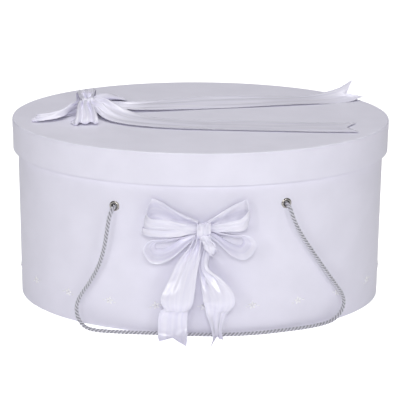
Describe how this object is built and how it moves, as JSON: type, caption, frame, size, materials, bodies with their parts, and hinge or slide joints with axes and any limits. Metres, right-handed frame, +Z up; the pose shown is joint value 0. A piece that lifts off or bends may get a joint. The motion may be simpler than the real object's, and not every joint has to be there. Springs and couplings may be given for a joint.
{
  "type": "hat box",
  "caption": "Oval covered-board hat box with a lift-off lid, cord handle at the front, satin bows on the wall and lid, and small raised flowers round the foot.",
  "frame": {"origin": "centre of the oval foot, on the surface that the box stands on", "axes": "+Z up, +X along the oval's length to the right as seen from the front, -Y towards the front with the cord handle and bow"},
  "size_m": [0.4526, 0.3443, 0.2421],
  "materials": {
    "greyboard": "rolled and flat greyboard, matt",
    "cover_paper": "white covering paper with a faint lavender pearl sheen",
    "lining_paper": "plain white lining paper",
    "eyelet_metal": "bright nickel-plated brass",
    "twisted_cord": "twisted shiny viscose cord",
    "satin_ribbon": "white double-faced satin ribbon",
    "flower_lacquer": "raised white puff print, satin",
    "pearl": "pearl lacquer on a small plastic bead"
  },
  "bodies": {
    "box": {"wall_board": "greyboard", "base_board": "greyboard", "body_cover": "cover_paper", "foot_sheet": "cover_paper", "wall_lining": "lining_paper", "base_lining": "lining_paper", "front_left_eyelet": "eyelet_metal", "front_left_washer": "eyelet_metal", "front_right_eyelet": "eyelet_metal", "front_right_washer": "eyelet_metal", "rear_left_eyelet": "eyelet_metal", "rear_left_washer": "eyelet_metal", "rear_right_eyelet": "eyelet_metal", "rear_right_washer": "eyelet_metal", "handle_cord": "twisted_cord", "left_stopper_knot": "twisted_cord", "right_stopper_knot": "twisted_cord", "bow_knot": "satin_ribbon", "bow_left_upper_loop": "satin_ribbon", "bow_left_lower_loop": "satin_ribbon", "bow_right_upper_loop": "satin_ribbon", "bow_right_lower_loop": "satin_ribbon", "bow_left_tail": "satin_ribbon", "bow_right_tail": "satin_ribbon", "raised_flowers": "flower_lacquer", "flower_pearls": "pearl"},
    "lid": {"lid_rim_board": "greyboard", "lid_board": "greyboard", "lid_top_cover": "cover_paper", "lid_rim_cover": "cover_paper", "lid_lining": "lining_paper", "lid_rim_lining": "lining_paper", "lid_bow_knot": "satin_ribbon", "lid_bow_left_front_loop": "satin_ribbon", "lid_bow_left_low_loop": "satin_ribbon", "lid_bow_left_rear_loop": "satin_ribbon", "lid_bow_right_rear_loop": "satin_ribbon", "lid_front_tail": "satin_ribbon", "lid_rear_tail": "satin_ribbon"}
  },
  "joints": [
    {"name": "lid_lift", "type": "slide", "parent": "box", "child": "lid", "axis": [0, 0, 1], "range_m": [0, 0.12]}
  ]
}
